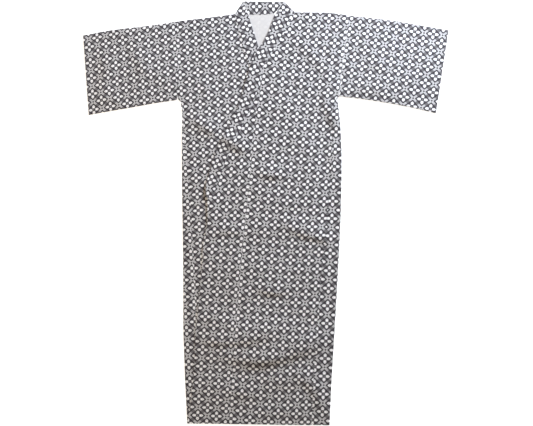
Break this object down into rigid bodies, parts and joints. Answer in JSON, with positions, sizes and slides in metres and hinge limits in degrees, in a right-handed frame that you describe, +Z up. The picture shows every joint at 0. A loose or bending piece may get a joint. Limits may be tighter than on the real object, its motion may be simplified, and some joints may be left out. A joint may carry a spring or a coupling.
{
  "type": "cotton yukata robe",
  "caption": "Unlined cotton robe with straight short sleeves and a long collar band, laid flat and closed left over right",
  "frame": {"origin": "middle of the laid robe's box, on the surface that it lies on", "axes": "+Y runs from the hem to the collar, +X to the wearer's left, +Z up out of the cloth"},
  "size_m": [1.318, 1.51, 0.0073],
  "materials": {
    "cotton_body_right": "matt printed plain-weave cotton",
    "cotton_body_left": "matt printed plain-weave cotton",
    "cotton_okumi_right": "matt printed plain-weave cotton",
    "cotton_okumi_left": "matt printed plain-weave cotton",
    "cotton_sleeve_right": "matt printed plain-weave cotton",
    "cotton_sleeve_left": "matt printed plain-weave cotton",
    "cotton_collar_right": "matt printed plain-weave cotton, doubled",
    "cotton_collar_left": "matt printed plain-weave cotton, doubled",
    "cotton_collar_back": "matt printed plain-weave cotton, doubled"
  },
  "bodies": {
    "root": {"body_right": "cotton_body_right", "body_left": "cotton_body_left", "okumi_right": "cotton_okumi_right", "okumi_left": "cotton_okumi_left", "sleeve_right": "cotton_sleeve_right", "sleeve_left": "cotton_sleeve_left", "collar_right": "cotton_collar_right", "collar_left": "cotton_collar_left", "collar_back": "cotton_collar_back"}
  },
  "joints": []
}
